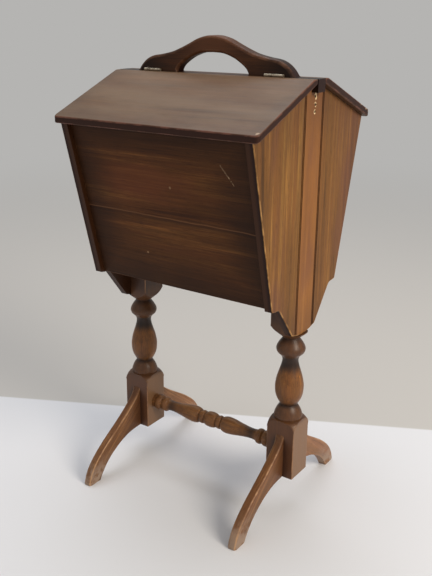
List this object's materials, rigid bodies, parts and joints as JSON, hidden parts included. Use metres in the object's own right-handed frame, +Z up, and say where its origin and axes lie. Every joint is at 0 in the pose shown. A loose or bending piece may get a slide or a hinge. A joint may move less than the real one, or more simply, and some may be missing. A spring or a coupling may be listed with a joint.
{
  "type": "sewing stand",
  "caption": "Free-standing wooden sewing stand: a roofed case with two hinged lids and an arched carrying handle, on turned posts with curved legs and a turned stretcher.",
  "frame": {"origin": "on the floor, under the middle of the stand", "axes": "+X along the ridge to the right, -Y towards the front, +Z up"},
  "size_m": [0.322, 0.3012, 0.6696],
  "materials": {
    "panel_wood": "stained and varnished, semi-gloss, streaky grain",
    "board_wood": "dark stained and varnished, semi-gloss, toned darker at the edges",
    "lid_wood": "stained and varnished, worn and a little dusty",
    "handle_wood": "dark stained and varnished, rim worn lighter",
    "turned_wood": "turned, shaded stain, dark in the hollows, semi-gloss",
    "leg_wood": "stained and varnished, worn at the toes",
    "inner_wood": "plain planed, thinly stained",
    "tray_wood": "plain planed, clear finish",
    "dowel_wood": "unfinished beech",
    "hinge_nickel": "nickel plated, dulled",
    "screw_steel": "bright steel, aged"
  },
  "bodies": {
    "stand": {"bottom_board": "inner_wood", "cleat_screws": "screw_steel", "end_panel_left": "panel_wood", "end_panel_right": "panel_wood", "front_board": "board_wood", "handle_board": "handle_wood", "hinge_front_left_board_leaf": "hinge_nickel", "hinge_front_left_pin": "hinge_nickel", "hinge_front_right_board_leaf": "hinge_nickel", "hinge_front_right_pin": "hinge_nickel", "hinge_rear_left_board_leaf": "hinge_nickel", "hinge_rear_left_pin": "hinge_nickel", "hinge_rear_right_board_leaf": "hinge_nickel", "hinge_rear_right_pin": "hinge_nickel", "hinge_screws_handle": "screw_steel", "leg_dowels": "dowel_wood", "leg_left_front": "leg_wood", "leg_left_rear": "leg_wood", "leg_right_front": "leg_wood", "leg_right_rear": "leg_wood", "post_left": "turned_wood", "post_right": "turned_wood", "post_screws": "screw_steel", "rear_board": "board_wood", "ridge_nails": "screw_steel", "stretcher": "turned_wood", "tray_cleat_left": "inner_wood", "tray_cleat_right": "inner_wood"},
    "front_lid": {"front_lid": "lid_wood", "hinge_front_left_lid_leaf": "hinge_nickel", "hinge_front_right_lid_leaf": "hinge_nickel", "hinge_screws_front_lid": "screw_steel"},
    "rear_lid": {"hinge_rear_left_lid_leaf": "hinge_nickel", "hinge_rear_right_lid_leaf": "hinge_nickel", "hinge_screws_rear_lid": "screw_steel", "rear_lid": "lid_wood"},
    "tray": {"tray_bottom": "tray_wood", "tray_divider_left": "tray_wood", "tray_divider_right": "tray_wood", "tray_end_left": "tray_wood", "tray_end_right": "tray_wood", "tray_front": "tray_wood", "tray_rear": "tray_wood"}
  },
  "joints": [
    {"name": "front_lid_hinge", "type": "hinge", "parent": "stand", "child": "front_lid", "pos_m": [0, -0.0118, 0.6222], "axis": [-1, 0, 0], "range_deg": [0, 113]},
    {"name": "rear_lid_hinge", "type": "hinge", "parent": "stand", "child": "rear_lid", "pos_m": [0, 0.0118, 0.6222], "axis": [1, 0, 0], "range_deg": [0, 113]},
    {"name": "tray_slide", "type": "slide", "parent": "stand", "child": "tray", "axis": [0, 1, 0], "range_m": [0, 0.117]}
  ]
}
